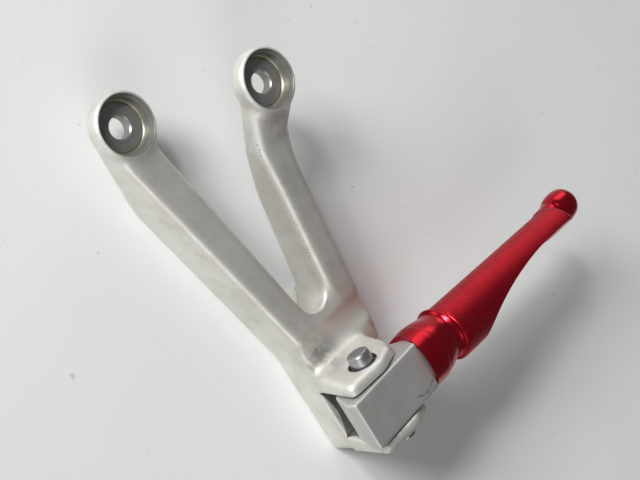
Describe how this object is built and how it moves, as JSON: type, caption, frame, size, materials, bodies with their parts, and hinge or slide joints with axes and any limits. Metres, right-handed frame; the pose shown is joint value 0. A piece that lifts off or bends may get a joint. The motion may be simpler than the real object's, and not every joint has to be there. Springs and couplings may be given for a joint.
{
  "type": "passenger footpeg",
  "caption": "Folding motorcycle passenger footpeg: red knurled grip hinged in the clevis of a cast V-shaped hanger that bolts to the frame.",
  "frame": {"origin": "axis of the long arm's bolt hole, in the flat face that bolts to the motorcycle's frame", "axes": "+Z out along the bolts, away from the motorcycle; +X along the hinge pin from the long arm's boss towards the clevis; +Y along the peg when it is folded"},
  "size_m": [0.1816, 0.1862, 0.0519],
  "materials": {
    "cast_aluminium": "satin cast, tumbled",
    "machined_aluminium": "satin, scuffed",
    "pin_steel": "ground",
    "spring_steel": "dark oiled",
    "red_anodised": "glossy red anodised"
  },
  "bodies": {
    "hanger": {"bracket": "cast_aluminium", "pivot_pin": "pin_steel", "pin_clip": "spring_steel", "pin_washer": "pin_steel"},
    "folding_peg": {"hinge_block": "machined_aluminium", "detent_ball": "pin_steel", "detent_spring": "spring_steel", "peg": "red_anodised", "peg_screw": "pin_steel", "lock_washer": "pin_steel"}
  },
  "joints": [
    {"name": "peg_fold", "type": "hinge", "parent": "hanger", "child": "folding_peg", "pos_m": [0.1473, 0.0231, 0.026], "axis": [1, 0, 0], "range_deg": [0, 90]}
  ]
}
